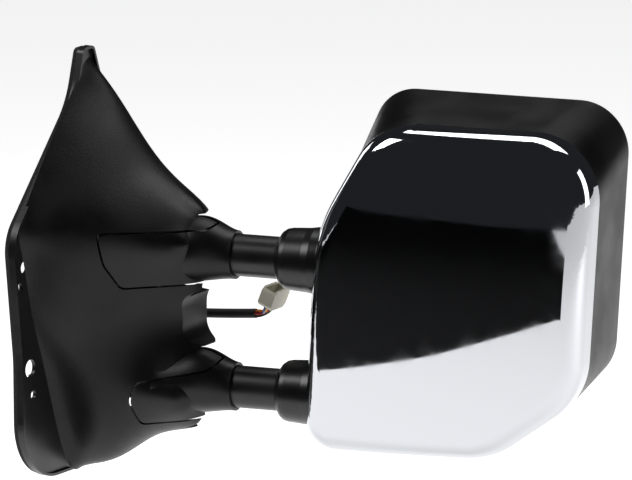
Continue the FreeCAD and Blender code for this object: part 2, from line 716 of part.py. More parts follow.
# ---------------------------------------------------------------- mirror head
# Outlines are drawn 255 mm wide and 283 mm tall from (162, -104); spread() stretches them.
DRAWN_HEAD = (162, -104, 255, 283)
PARTING_OUTLINE = [(168, -105), (330, -99), (404, -45), (416, 165), (232, 165), (184, 80)]
PARTING_RADII = [24, 70, 60, 52, 50, 120]
RIM_OUTLINE = [(162, -104), (322, -104), (405, -30), (417, 179), (214, 179), (174, 90)]
RIM_RADII = [24, 60, 40, 40, 36, 100]
HOUSING_BOSSES = [(214, -93), (346, -70), (392, 60), (372, 140), (262, 142)]


def spread(points):
    """Drawn (x, z) points of the head at the sheet's sizes."""
    left, low, width, height = DRAWN_HEAD
    return [(size("head_left") + (x - left) * size("head_width") / width,
             size("head_bottom") + (z - low) * size("head_height") / height) for x, z in points]


def head_wire(points, radii, y, depth):
    """One outline of the head at y, drawn in by depth."""
    shrunk = [radius - depth for radius in radii]
    return rounded(inset(spread(points), depth), shrunk, at_y(y))


def dome(depth, back):
    """The domed front of the head, drawn in by depth, cut flat at y = back."""
    parting = head_wire(PARTING_OUTLINE, PARTING_RADII, back, depth)
    prism = Part.Face(parting).extrude(Vec(0, size("cap_front") * 2, 0))
    radius = size("face_radius")
    middle = Vec(size("glass_x"), size("cap_front") + radius, size("head_bottom")
                 + size("head_height") / 2)
    solid = prism.common(Part.makeSphere(radius - depth, middle))
    face = next(f for f in solid.Faces if f.Surface.TypeId == "Part::GeomSphere")
    return solid.makeFillet(size("cap_round") - depth, face.Edges)


def collar_ways(radius):
    """Round openings for the collars through the skins of the head."""
    ways = []
    for arm in ("upper_arm", "lower_arm"):
        ways.append(Part.makeCylinder(radius, size("collar_end") + 20 - size("collar_start"),
                                      Vec(size("collar_start"), 0, size(arm)), Vec(1, 0, 0)))
    return ways


def boss_rods(radius, start, end):
    """Rods along +Y at the housing's screw places."""
    return [Part.makeCylinder(radius, end - start, Vec(x, start, z), Vec(0, 1, 0))
            for x, z in spread(HOUSING_BOSSES)]


def make_cap():
    """The plated cap over the front of the head."""
    parting = size("parting")
    cap = dome(0, parting).cut(dome(size("cap_wall"), parting))
    ways = collar_ways(size("collar_root") + size("collar_play"))
    node(shaped("cap", cap.cut(ways)), "chrome_cap", ARM)


def make_front_housing():
    """The black front half inside the cap, with bosses for the housing screws."""
    parting = size("parting")
    depth = size("cap_wall") + size("cap_gap")
    inner = depth + size("housing_wall") - 0.5
    outer = dome(depth, parting)
    shell = outer.cut(dome(inner, parting))
    bosses = [rod_.common(outer) for rod_ in boss_rods(size("housing_boss_radius"),
                                                       size("cap_front"), parting)]
    shell = shell.fuse(bosses)
    ways = collar_ways(size("collar_root") + size("collar_play"))
    length = size("housing_screw_length")
    ways += boss_rods(size("housing_screw_radius") + size("seat_fit"), parting - length - 1,
                      parting + 1)
    node(shaped("front_half", largest(shell.cut(ways))), "front_housing", ARM)


def rear_block(depth):
    """The solid between the parting line and the rim, drawn in by depth."""
    wires = [head_wire(PARTING_OUTLINE, PARTING_RADII, size("parting"), depth),
             head_wire(RIM_OUTLINE, RIM_RADII, size("head_rim"), depth)]
    return Part.makeLoft(wires, True, True)


def make_rear_housing():
    """The satin black rear half, with lugs that the housing screws pass through."""
    parting = size("parting")
    outer = rear_block(0)
    shell = outer.cut(rear_block(size("housing_wall")))
    thick = size("housing_boss_start") - parting
    lugs = [rod_.common(outer) for rod_ in boss_rods(size("housing_boss_radius"), parting,
                                                     parting + thick)]
    webs = lug_webs(parting, thick)
    shell = shell.fuse(lugs + webs)
    ways = collar_ways(size("collar_root") + size("collar_play"))
    ways += boss_rods(size("housing_screw_radius") + size("seat_fit"), parting - 1,
                      size("housing_boss_start") + 1)
    node(shaped("rear_half", largest(shell.cut(ways))), "rear_housing", ARM)


def lug_webs(parting, thick):
    """Ribs that hold the screw lugs out from the rear half's wall."""
    middle = Vec(size("glass_x"), parting, size("head_bottom") + size("head_height") / 2)
    half = size("housing_boss_radius") - 1
    webs = []
    outer = rear_block(0)
    for x, z in spread(HOUSING_BOSSES):
        spot = Vec(x, parting, z)
        away = (spot - middle).normalize()
        side = away.cross(Vec(0, 1, 0)) * half
        corners = [spot + side, spot + away * 40 + side, spot + away * 40 - side, spot - side]
        face = Part.Face(Part.makePolygon(corners + corners[:1]))
        webs.append(face.extrude(Vec(0, thick, 0)).common(outer))
    return webs


def make_housing_screws():
    """Screws from the rear half into the front half's bosses."""
    screws = []
    for i, (x, z) in enumerate(spread(HOUSING_BOSSES)):
        screws.append(bolt("housing_screw_%d" % i, "housing_screw_radius",
                           "housing_boss_start - parting + housing_screw_length",
                           "housing_screw_radius * 2", "housing_screw_radius",
                           (str(x), "housing_boss_start + housing_screw_radius", str(z)), "-Y"))
    group("housing_screws", screws, ARM)


def make_collars():
    """The round shouldered collars where the tubes enter the head."""
    start = "collar_start"
    bore = "tube_radius + collar_play"
    for side in ("upper", "lower"):
        length = "collar_end - collar_start"
        profile = [(bore, "0"), ("collar_tip - 0.8", "0"), ("collar_tip", "0.8"),
                   ("collar_waist - 2.6", "2.4"), ("collar_waist - 0.8", "5"),
                   ("collar_waist", "8.5"), ("collar_root - 1", "24"), ("collar_root", "30"),
                   ("collar_root", length), (bore, length)]
        node(group_one(turned(side + "_ring", profile, (start, "0", side + "_arm"), "+X")),
             side + "_collar", ARM)


def group_one(part):
    """A compound round one body, so that it can stand in another frame."""
    obj = DOC.addObject("Part::Compound", part.Name + "_set")
    obj.Links = [part]
    return obj


def make_head_frame():
    """The cast frame: sleeves round both tubes and a back plate for the mirror drives."""
    low = "spot_z - beam_half"
    high = "glass_z + case_half"
    parts = [block("frame_bar", ("bar_width", "frame_thick", "%s - (%s)" % (high, low)),
                   ("bar_left", "frame_front", low)),
             block("frame_beam", ("glass_x + case_half - bar_left", "frame_thick",
                                  "beam_half * 2"), ("bar_left", "frame_front", "glass_z - beam_half")),
             block("frame_foot", ("spot_x + beam_half - bar_left", "frame_thick", "beam_half * 2"),
                   ("bar_left", "frame_front", low))]
    tools = []
    for side in ("upper", "lower"):
        arm = side + "_arm"
        parts.append(rod(side + "_sleeve", "sleeve_radius", "sleeve_end - collar_end",
                         ("collar_end", "0", arm), "+X"))
        tools.append(rod(side + "_sleeve_way", "bush_radius", "sleeve_end - collar_end + 2",
                         ("collar_end - 1", "0", arm), "+X"))
    whole = joined("frame_whole", parts)
    node(cut("frame", whole, tools), "head_frame", ARM)


def make_slide_bushes():
    """Plastic bushes in the sleeves that the tubes run in."""
    bushes = []
    for arm in ("upper_arm", "lower_arm"):
        for i, x in enumerate(("collar_end", "sleeve_end - bush_length")):
            bushes.append(ring("%s_slide_bush_%d" % (arm, i), "bush_radius",
                               "tube_radius + slide_play", "bush_length", (x, "0", arm), "+X"))
    group("slide_bushes", bushes, ARM)


# ---------------------------------------------------------------- mirror glasses
def glass_area(depth, side):
    """The rim's inside drawn in by depth, above or below the divider, as a tall prism."""
    wire = head_wire(RIM_OUTLINE, RIM_RADII, 0, size("housing_wall") + depth)
    prism = Part.Face(wire).extrude(Vec(0, FAR, 0))
    if side == "both":
        return prism
    edge = size("divider_half") + depth - size("bezel_width")
    if side == "main":
        low, high = size("divider_z") + edge, 2 * FAR
    else:
        low, high = -2 * FAR, size("divider_z") - edge
    return prism.common(Part.makeBox(3 * FAR, FAR, high - low, Vec(0, 0, low)))


def slice_y(solid, start, end):
    """The part of a solid between y = start and y = end."""
    return solid.common(Part.makeBox(3 * FAR, end - start, 4 * FAR, Vec(0, start, -2 * FAR)))


def make_bezel():
    """The black frame round both glasses, with the bar between them."""
    start = size("bezel_front")
    end = size("bezel_back")
    outer = rear_block(size("housing_wall"))
    windows = [glass_area(size("bezel_width"), side) for side in ("main", "spot")]
    node(shaped("bezel", slice_y(outer, start, end).cut(windows)), "glass_bezel", ARM)


def make_glass(side, pivot_x, pivot_z, ball, cups):
    """One mirror glass's backing with its hub, and the glass itself."""
    edge = size("bezel_width") + size("glass_gap")
    area = glass_area(edge, side)
    back = size("glass_back")
    face = back + size("backing_thick")
    hub_in = ball + 2 * size("ball_play") + size("gimbal_wall") + 0.8
    hub_out = hub_in + size("hub_wall")
    start = size("ball_y") - size("hub_ahead")
    plate = slice_y(area, back, face)
    hub = along_y(pivot_x, start, pivot_z, hub_out, back - start)
    tools = [along_y(pivot_x, start - 1, pivot_z, hub_in, back - start + 1),
             Part.makeCylinder(size("gimbal_pin") + size("hinge_play"), hub_out * 3,
                               Vec(pivot_x - hub_out * 1.5, size("ball_y"), pivot_z), Vec(1, 0, 0))]
    for x, z in cups:
        room = size("screw_ball") + size("screw_room")
        start = size("ball_y") - 1
        hub = hub.fuse(along_y(x, start, z, room + size("cup_wall"), back - start))
        tools.append(along_y(x, start - 1, z, room, back - start + 1))
    return plate.fuse(hub).cut(tools), area, face


def along_y(x, y, z, radius, length):
    """A cylinder along +Y."""
    return Part.makeCylinder(radius, length, Vec(x, y, z), Vec(0, 1, 0))


def make_main_glass():
    """The flat heated main mirror."""
    pivot_x, pivot_z, lever = size("glass_x"), size("glass_z"), size("lever")
    cups = [(pivot_x + lever, pivot_z), (pivot_x, pivot_z + lever)]
    backing, area, face = make_glass("main", pivot_x, pivot_z, size("main_ball"), cups)
    node(shaped("main_backing", backing), "glass_backing", ARM)
    warm = face + size("heater_thick")
    node(shaped("heater", slice_y(area, face, warm)), "heater_pad", ARM)
    node(shaped("mirror", slice_y(area, warm, warm + size("glass_thick"))), "main_glass", ARM)


def make_spot_glass():
    """The small convex mirror below."""
    pivot_x, pivot_z = size("spot_x"), size("spot_z")
    backing, area, face = make_glass("spot", pivot_x, pivot_z, size("spot_ball"), [])
    node(shaped("spot_back", backing), "spot_backing", ARM)
    bulge = size("spot_bulge")
    outer = Part.makeSphere(bulge, Vec(pivot_x, face + size("glass_thick") * 2 - bulge, pivot_z))
    glass = slice_y(area, face, face + size("glass_thick") * 2).common(outer)
    node(shaped("convex", glass), "spotter_glass", ARM)


def make_gimbal(label, x, z, ball):
    """A ring on two upright pins in its ball, with two level pins for the glass's hub."""
    inner = "%s + ball_play" % ball
    outer = inner + " + gimbal_wall"
    hub = outer + " + ball_play + 0.8"
    parts = [ring(label + "_band", outer, inner, "gimbal_half * 2",
                  (x, "ball_y - gimbal_half", z), "+Y")]
    for sign, axis, turn in ((1, "+Z", "up"), (-1, "-Z", "down")):
        parts.append(rod("%s_pin_%s" % (label, turn), "gimbal_pin", "%s - 2" % inner,
                         (x, "ball_y", "%s + %d * 3" % (z, sign)), axis))
    for sign, axis, turn in ((1, "+X", "right"), (-1, "-X", "left")):
        parts.append(rod("%s_pin_%s" % (label, turn), "gimbal_pin", "gimbal_wall + hub_wall + 0.8",
                         ("%s + %d * (%s + 0.4)" % (x, sign, inner), "ball_y", z), axis))
    return node(joined(label + "_whole", parts), label, ARM)


def make_ball_post(label, x, z, ball, foot):
    """A ball, flat before and behind, on a stem from its foot, bored for the upright pins."""
    whole = joined(label + "_parts", [
        ball_of(label, ball, x, z),
        rod(label + "_stem", "stem_radius", "ball_y - (%s)" % foot, (x, foot, z), "+Y")])
    bore = rod(label + "_bore", "gimbal_pin + hinge_play", "%s * 3" % ball,
               (x, "ball_y", "%s - %s * 1.5" % (z, ball)))
    return node(cut(label + "_bored", whole, [bore]), label, ARM)


def ball_of(label, radius, x, z):
    """The ball's middle slab, gimbal_half to each side of its centre."""
    slab = rod(label + "_slab", radius + " + 1", "gimbal_half * 2",
               (x, "ball_y - gimbal_half", z), "+Y")
    both = DOC.addObject("Part::Common", label + "_zone")
    both.Base = ball(label + "_ball", radius, (x, "ball_y", z))
    both.Tool = slab
    return both


def make_case():
    """The open-fronted case of the main mirror's drive, screwed to the frame."""
    start = "frame_front + frame_thick"
    case = block("case_block", ("case_half * 2", "case_depth", "case_half * 2"),
                 ("glass_x - case_half", start, "glass_z - case_half"))
    room = block("case_room", ("case_half * 2 - case_wall * 2", "case_depth",
                               "case_half * 2 - case_wall * 2"),
                 ("glass_x - case_half + case_wall", start + " - case_wall",
                  "glass_z - case_half + case_wall"))
    hole = "screw_ball + 0.4"
    tools = [room]
    for name, x, z in DRIVE_SPOTS:
        tools.append(rod(name + "_port", hole, "case_depth * 2", (x, start, z), "+Y"))
    node(cut("case", case, tools), "actuator_case", ARM)


DRIVE_SPOTS = [("pan", "glass_x + lever", "glass_z"), ("tilt", "glass_x", "glass_z + lever")]


def make_drives():
    """Two jackscrews with their nuts, worms and motors."""
    level = "( frame_front + frame_thick + motor_radius + drive_gap )"
    base = level + " - screw_tail"
    wheels = []
    motors = []
    reach = "wheel_radius + worm_radius + worm_gap"
    for name, x, z in DRIVE_SPOTS:
        screw = joined(name + "_screw", [
            rod(name + "_shank", "screw_radius", "ball_y - (%s)" % base, (x, base, z), "+Y"),
            ball(name + "_tip", "screw_ball", (x, "ball_y", z))])
        node(screw, name + "_jackscrew", ARM)
        wheels.append(ring(name + "_wheel", "wheel_radius", "screw_radius + hinge_play",
                           "wheel_thick", (x, level + " - wheel_thick / 2", z), "+Y"))
        if name == "pan":
            side, start, axis = "glass_x + lever - (%s)" % reach, "glass_z", "-Z"
            worm_at = (side, level, start + " + worm_length / 2")
            motor_at = (side, level, start + " - worm_length / 2 - 2")
        else:
            side, start, axis = "glass_z + lever - (%s)" % reach, "glass_x", "-X"
            worm_at = (start + " + worm_length / 2", level, side)
            motor_at = (start + " - worm_length / 2 - 2", level, side)
        motors.append(joined(name + "_motor", [
            rod(name + "_worm", "worm_radius", "worm_length", worm_at, axis),
            rod(name + "_shaft", "shaft_radius", "worm_length + 2 + motor_length", worm_at, axis),
            rod(name + "_can", "motor_radius", "motor_length", motor_at, axis)]))
    group("drive_wheels", wheels, ARM)
    for motor, label in zip(motors, ("pan_motor", "tilt_motor")):
        node(motor, label, ARM)


# ---------------------------------------------------------------- harness
# The sleeve's corners, from the grommet out of the inboard face, back round the rear edge of
# the plate and forward again beside the shell to the plug.
SLEEVE_PATH = [(-7, 0, 0), (-20, 0.2, 0), (-33, 0.4, -0.5), (-44.5, 7, -1.5), (-51, 18.5, -2.5),
               (-51, 32, -3.5), (-44.5, 43.5, -4.5), (-33, 50, -5.5), (-15, 51, -6.5),
               (12, 50, -7), (42, 48, -7.5), (74, 47, -6.5), (107, 47, -4), (140, 46, 0)]
WIRE_COUNT = 6
CLIP_RUN = 8


def tube_wire(points):
    """Straight runs joined by tangent arcs, each of 0.45 x shorter run / tan(half turn)."""
    edges = []
    start = points[0]
    radii = []
    for before, corner, after in zip(points, points[1:], points[2:]):
        back = before - corner
        ahead = after - corner
        reach = 0.45 * min(back.Length, ahead.Length)
        back.normalize()
        ahead.normalize()
        half = back.getAngle(ahead) / 2
        radius = reach * math.tan(half)
        middle = corner + (back + ahead).normalize() * (radius / math.sin(half) - radius)
        edges.append(Part.LineSegment(start, corner + back * reach).toShape())
        edges.append(Part.Arc(corner + back * reach, middle, corner + ahead * reach).toShape())
        start = corner + ahead * reach
        radii.append(round(radius, 1))
    edges.append(Part.LineSegment(start, points[-1]).toShape())
    return Part.Wire(edges), radii


def pipe(points, radius, label):
    """A round tube along a path; prints its bend radii and checks its volume."""
    wire, radii = tube_wire(points)
    circle = Part.Wire([Part.makeCircle(radius, points[0], points[1] - points[0])])
    solid = wire.makePipeShell([circle], True, False)
    ideal = math.pi * radius ** 2 * wire.Length
    print("%s: length %.0f mm, radii %s" % (label, wire.Length, radii))
    if abs(solid.Volume / ideal - 1) > 0.01:
        raise RuntimeError("%s is not a clean tube" % label)
    return solid


def sleeve_points():
    """The sleeve's corner points in the row frame."""
    y, z = size("cable_y"), size("cable_z")
    return [Vec(a, y + b, z + c) for a, b, c in SLEEVE_PATH]


def plug_frame():
    """Where the plug stands: its own X along the wires, leaning outboard."""
    end = sleeve_points()[-1]
    lean = FreeCAD.Rotation(Vec(0, 1, 0), size("plug_tilt") - 90)
    return FreeCAD.Placement(end + Vec(13, 0, 8), lean)


def make_harness():
    """Sleeve, coloured wires, plug and the clip that holds the sleeve to the plate."""
    points = sleeve_points()
    radius = size("cable_radius") - size("cable_play")
    node(shaped("sleeve", pipe(points, radius, "harness_cable")), "harness_cable")
    frame = plug_frame()
    end = points[-1]
    wires = []
    for i in range(WIRE_COUNT):
        angle = 2 * math.pi * i / WIRE_COUNT
        spread_by = Vec(0, math.cos(angle), math.sin(angle)) * (radius - size("wire_radius") - 0.4)
        slot = (i - (WIRE_COUNT - 1) / 2) * 3.4
        goal = frame.multVec(Vec(0, slot, 0))
        before = frame.multVec(Vec(-5, slot, 0))
        path = [end + spread_by + Vec(0.3, 0, 0), end + spread_by + Vec(6, 0, 0.4), before, goal]
        wires.append(pipe(path, size("wire_radius"), "harness_wires %d" % i))
    node(shaped("wires", Part.makeCompound(wires)), "harness_wires")
    make_plug(frame)
    make_clip(points)


def make_clip(points):
    """The open clip on the plate's rear edge that the sleeve snaps into."""
    half = size("clip_width") / 2
    before, after = points[CLIP_RUN], points[CLIP_RUN + 1]
    along = (after - before).normalize()
    back = size("gasket_thick")
    middle = before + along * (back + size("plate_thick") / 2 - before.x)
    start = middle - along * half
    inner = size("cable_radius")
    clasp = Part.makeCylinder(inner + size("clip_wall"), half * 2, start, along)
    edge = deep(max(y for y, z in PLATE_OUTLINE))
    tail = Part.makeBox(size("plate_thick"), middle.y - edge, half * 2,
                        Vec(back, edge, middle.z - half))
    mouth = Part.makeBox(FAR, FAR, inner, Vec(-FAR / 2, middle.y, middle.z - inner / 2))
    bore = Part.makeCylinder(inner, FAR, start - along * half * 2, along)
    node(shaped("clip", largest(clasp.fuse(tail).cut([bore, mouth]))), "harness_clip")


def make_plug(frame):
    """The pale plug with chamfered corners and a row of terminal windows."""
    length, width, thick = size("plug_length"), size("plug_width"), size("plug_thick")
    body = Part.makeBox(length, width, thick, Vec(0, -width / 2, -thick / 2))
    edges = [edge for edge in body.Edges if abs(edge.Length - thick) < 0.01]
    body = body.makeChamfer(3, edges)
    room = Part.makeBox(length - 8, width - 4, thick - 4, Vec(8, 2 - width / 2, 2 - thick / 2))
    body = body.cut(room)
    body.Placement = frame
    node(shaped("plug", body), "harness_connector")


def finish():
    """Check every object, then write each node's STEP file."""
    DOC.recompute()
    for obj in DOC.Objects:
        if "Invalid" in obj.State or "Error" in obj.State:
            raise RuntimeError("%s failed: %s" % (obj.Name, obj.State))
    for obj in NODES:
        if obj.Shape.isNull() or not obj.Shape.isValid() or not obj.Shape.Solids:
            raise RuntimeError("%s has no valid shape" % obj.Label)
    os.makedirs("parts", exist_ok=True)
    for obj in NODES:
        obj.Shape.exportStep("parts/%s.step" % obj.Label)
        print("%s: %d solids, %.1f cm3" % (obj.Label, len(obj.Shape.Solids), obj.Shape.Volume / 1e3))


make_plate()
make_gasket()
make_shell_and_covers()
make_rear_covers()
make_studs()
make_shell_screws()
make_grommet()
make_hinge_bracket()
make_bracket_bolts()
make_fold_pin()
make_pivot_washers()
make_arm_bracket("upper")
make_arm_bracket("lower")
make_arm_fittings()
make_tubes()
make_cap()
make_front_housing()
make_rear_housing()
make_housing_screws()
make_collars()
make_head_frame()
make_slide_bushes()
make_bezel()
make_main_glass()
make_spot_glass()
make_gimbal("gimbal_ring", "glass_x", "glass_z", "main_ball")
make_gimbal("spot_gimbal", "spot_x", "spot_z", "spot_ball")
make_ball_post("ball_post", "glass_x", "glass_z", "main_ball",
               "frame_front + frame_thick + case_depth")
make_ball_post("spot_ball_post", "spot_x", "spot_z", "spot_ball", "frame_front + frame_thick")
make_case()
make_drives()
make_harness()
finish()
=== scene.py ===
"""Look of the telescoping door mirror: materials, harness, lights and camera."""

import math

import bpy
from mathutils import Matrix, Vector


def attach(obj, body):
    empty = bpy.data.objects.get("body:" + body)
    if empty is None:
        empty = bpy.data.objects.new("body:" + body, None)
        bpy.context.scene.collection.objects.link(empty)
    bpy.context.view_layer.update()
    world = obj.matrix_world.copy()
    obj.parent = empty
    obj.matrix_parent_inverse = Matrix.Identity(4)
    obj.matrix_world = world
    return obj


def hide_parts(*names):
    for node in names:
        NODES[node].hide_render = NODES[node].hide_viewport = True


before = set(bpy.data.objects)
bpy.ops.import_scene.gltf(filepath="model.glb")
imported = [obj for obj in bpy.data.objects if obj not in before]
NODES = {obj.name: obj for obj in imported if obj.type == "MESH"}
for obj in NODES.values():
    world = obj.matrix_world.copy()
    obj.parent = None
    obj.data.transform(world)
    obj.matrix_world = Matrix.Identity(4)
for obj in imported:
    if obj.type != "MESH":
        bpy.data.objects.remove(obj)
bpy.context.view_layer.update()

MM = 0.001

# ---------------------------------------------------------------- camera
# A long lens 30 degrees round from the mirror's front and 12 degrees above it.
AZIMUTH, ELEVATION = math.radians(30), math.radians(12)
RIGHT = Vector((math.cos(AZIMUTH), math.sin(AZIMUTH), 0))
BACK = Vector((math.sin(AZIMUTH) * math.cos(ELEVATION), -math.cos(AZIMUTH) * math.cos(ELEVATION),
               math.sin(ELEVATION)))
UP = BACK.cross(RIGHT)
VIEW_WIDTH = 0.5056
SENSOR = 36
LENS = 500
AIM = RIGHT * 0.2008 + UP * 0.0422 + BACK * 0.0744


def make_camera():
    """The camera, far enough off that the view is VIEW_WIDTH wide at the aim point."""
    data = bpy.data.cameras.new("camera")
    data.lens = LENS
    data.sensor_width = SENSOR
    data.clip_start = 0.05
    data.clip_end = 50
    camera = bpy.data.objects.new("camera", data)
    camera.location = AIM + BACK * (VIEW_WIDTH * LENS / SENSOR)
    camera.rotation_mode = "QUATERNION"
    camera.rotation_quaternion = BACK.to_track_quat("Z", "Y")
    bpy.context.scene.collection.objects.link(camera)
    bpy.context.scene.camera = camera


make_camera()


# ---------------------------------------------------------------- colour and node helpers
def linear(code):
    """An sRGB hex colour as linear RGBA."""
    values = [int(code[i:i + 2], 16) / 255 for i in (0, 2, 4)]
    out = [v / 12.92 if v <= 0.04045 else ((v + 0.055) / 1.055) ** 2.4 for v in values]
    return (*out, 1.0)


def add(mat, kind, inputs=(), **props):
    """A shader node with its properties set, and its inputs set or linked."""
    item = mat.node_tree.nodes.new(kind)
    for name, value in props.items():
        setattr(item, name, value)
    for name, value in dict(inputs).items():
        if isinstance(value, bpy.types.NodeSocket):
            mat.node_tree.links.new(value, item.inputs[name])
        else:
            item.inputs[name].default_value = value
    return item


def material(name, colour, rough, metal=0.0, **surface):
    """A material with one Principled shader; returns it, the shader and object coordinates."""
    mat = bpy.data.materials.new(name)
    mat.use_nodes = True
    shader = mat.node_tree.nodes["Principled BSDF"]
    shader.inputs["Base Color"].default_value = linear(colour)
    shader.inputs["Roughness"].default_value = rough
    shader.inputs["Metallic"].default_value = metal
    for key, value in surface.items():
        shader.inputs[key.replace("_", " ")].default_value = value
    spot = add(mat, "ShaderNodeTexCoord").outputs["Object"]
    return mat, shader, spot


def link(mat, out, to):
    """Link an output to an input."""
    mat.node_tree.links.new(out, to)


def noise(mat, spot, size_mm, detail=2.0, stretch=(1, 1, 1)):
    """Noise whose features are about size_mm wide."""
    turned = add(mat, "ShaderNodeMapping", {"Vector": spot, "Scale": stretch}).outputs["Vector"]
    return add(mat, "ShaderNodeTexNoise", {"Vector": turned, "Scale": 1 / (size_mm * MM),
                                           "Detail": detail}).outputs["Fac"]


def vary(mat, fac, start, end, low_at=0.35, high_at=0.65):
    """Map a noise's usual span to start..end."""
    return add(mat, "ShaderNodeMapRange", {"Value": fac, "From Min": low_at, "From Max": high_at,
                                           "To Min": start, "To Max": end}).outputs["Result"]


def bump(mat, shader, height, depth_mm):
    """Bump of a real depth on the shader's normal."""
    item = add(mat, "ShaderNodeBump", {"Height": height, "Distance": depth_mm * MM})
    link(mat, item.outputs["Normal"], shader.inputs["Normal"])


# ---------------------------------------------------------------- materials
# How wide the patches of different sheen on a moulding are, in mm.
SHEEN_PATCH = 45.0


def moulded(name, colour, rough, grain_mm, depth_mm, spread=0.06, gloss=0.5):
    """Injection-moulded plastic with a spark-eroded grain and a slow change in sheen."""
    mat, shader, spot = material(name, colour, rough, Specular_IOR_Level=gloss)
    grain = noise(mat, spot, grain_mm, 3.0)
    slow = noise(mat, spot, SHEEN_PATCH)
    link(mat, vary(mat, slow, rough - spread, rough + spread), shader.inputs["Roughness"])
    bump(mat, shader, grain, depth_mm)
    return mat


def metal(name, colour, rough, size_mm, stretch=(1, 1, 1), depth_mm=0.0):
    """Metal whose roughness changes over patches of size_mm."""
    mat, shader, spot = material(name, colour, rough, 1.0)
    patches = noise(mat, spot, size_mm, 4.0, stretch)
    link(mat, vary(mat, patches, rough * 0.7, rough * 1.3), shader.inputs["Roughness"])
    if depth_mm:
        bump(mat, shader, patches, depth_mm)
    return mat


def plated():
    """Bright chromium plate over moulded ABS: mirror-bright with a faint long-wave ripple."""
    mat, shader, spot = material("chrome plate on ABS", "c6c8cc", 0.035, 1.0)
    ripple = noise(mat, spot, 60.0, 1.0)
    bump(mat, shader, ripple, 0.06)
    haze = noise(mat, spot, 14.0, 4.0)
    link(mat, vary(mat, haze, 0.025, 0.06), shader.inputs["Roughness"])
    return mat


def sleeving():
    """Woven polyester sleeving over the wires: a diamond weave about 1.2 mm wide."""
    mat, shader, spot = material("woven polyester sleeving", "17171a", 0.72)
    parts = [add(mat, "ShaderNodeTexWave", {"Vector": spot, "Scale": 260, "Distortion": 2.0,
                                            "Detail": 1.0}, bands_direction=way).outputs["Fac"]
             for way in ("X", "DIAGONAL")]
    weave = add(mat, "ShaderNodeMath", {0: parts[0], 1: parts[1]}, operation="MULTIPLY")
    bump(mat, shader, weave.outputs[0], 0.25)
    return mat


def foam():
    """Closed-cell foam: small open pores over the cut face."""
    mat, shader, spot = material("closed-cell neoprene foam", "1c1c1d", 0.9)
    cells = add(mat, "ShaderNodeTexVoronoi", {"Vector": spot, "Scale": 900}).outputs["Distance"]
    bump(mat, shader, cells, 0.3)
    return mat


def silvered(name, tint):
    """Second-surface mirror: silver behind float glass."""
    mat, shader, spot = material(name, tint, 0.012, 1.0)
    shader.inputs["Coat Weight"].default_value = 0.6
    shader.inputs["Coat Roughness"].default_value = 0.01
    film = noise(mat, spot, 25.0, 3.0)
    link(mat, vary(mat, film, 0.008, 0.025), shader.inputs["Roughness"])
    return mat


def printed_film():
    """Amber polyimide heater film with printed copper tracks 3 mm apart."""
    mat, shader, spot = material("printed polyimide heater film", "8a4a12", 0.35)
    tracks = add(mat, "ShaderNodeTexWave", {"Vector": spot, "Scale": 52.0},
                 bands_direction="Z").outputs["Fac"]
    mask = vary(mat, tracks, 0.0, 1.0, 0.55, 0.6)
    link(mat, mask, shader.inputs["Metallic"])
    return mat


# Each material by its slot in the part: real stuff and process, with grain in real mm.
FINISH = {
    "shell": moulded("grained polypropylene, mould texture", "050506", 0.42, 1.1, 0.2, gloss=0.28),
    "satin": moulded("black nylon, fine mould texture", "050506", 0.36, 0.7, 0.05, gloss=0.3),
    "smooth": moulded("black acetal, polished mould", "070708", 0.3, 6.0, 0.006, 0.04),
    "coated": moulded("black powder coat on steel", "080809", 0.34, 1.4, 0.04),
    "chrome": plated(),
    "zinc": metal("zinc-plated steel", "a9adb0", 0.34, 5.0, depth_mm=0.01),
    "cast": metal("die-cast aluminium", "b4b5b6", 0.5, 1.2, depth_mm=0.05),
    "can": metal("drawn steel motor can", "b0b1b2", 0.28, 3.0, (1, 1, 12)),
    "acetal": moulded("natural acetal", "d8d3c4", 0.42, 1.0, 0.01),
    "rubber": moulded("moulded EPDM rubber", "121213", 0.7, 0.6, 0.03),
    "foam": foam(),
    "plug": moulded("natural nylon plug body", "c9c5b4", 0.45, 0.9, 0.02),
    "mirror": silvered("silvered float glass", "e6ebed"),
    "convex": silvered("silvered convex glass", "dfe6e9"),
    "film": printed_film(),
    "sleeving": sleeving(),
}
WEARS = {
    "shell": ["base_shell"],
    "satin": ["upper_arm_cover", "lower_arm_cover", "upper_rear_cover", "lower_rear_cover",
              "rear_housing", "front_housing", "glass_bezel", "glass_backing", "spot_backing",
              "actuator_case", "harness_clip"],
    "smooth": ["upper_collar", "lower_collar"],
    "coated": ["base_plate", "upper_tube", "lower_tube", "hinge_bracket", "arm_tie"],
    "chrome": ["chrome_cap"],
    "zinc": ["mount_studs", "shell_screws", "bracket_bolts", "fold_pin", "pivot_washers",
             "disc_springs", "pin_nut", "tube_cross_pins", "housing_screws"],
    "cast": ["upper_arm_bracket", "lower_arm_bracket", "head_frame"],
    "can": ["pan_motor", "tilt_motor"],
    "acetal": ["pivot_bushes", "tube_end_stops", "slide_bushes", "ball_post", "spot_ball_post",
               "gimbal_ring", "spot_gimbal", "pan_jackscrew", "tilt_jackscrew", "drive_wheels"],
    "rubber": ["harness_grommet"],
    "foam": ["base_gasket"],
    "plug": ["harness_connector"],
    "mirror": ["main_glass"],
    "convex": ["spotter_glass"],
    "film": ["heater_pad"],
}
for finish, names in WEARS.items():
    for name in names:
        mesh = NODES[name].data
        mesh.materials.clear()
        mesh.materials.append(FINISH[finish])

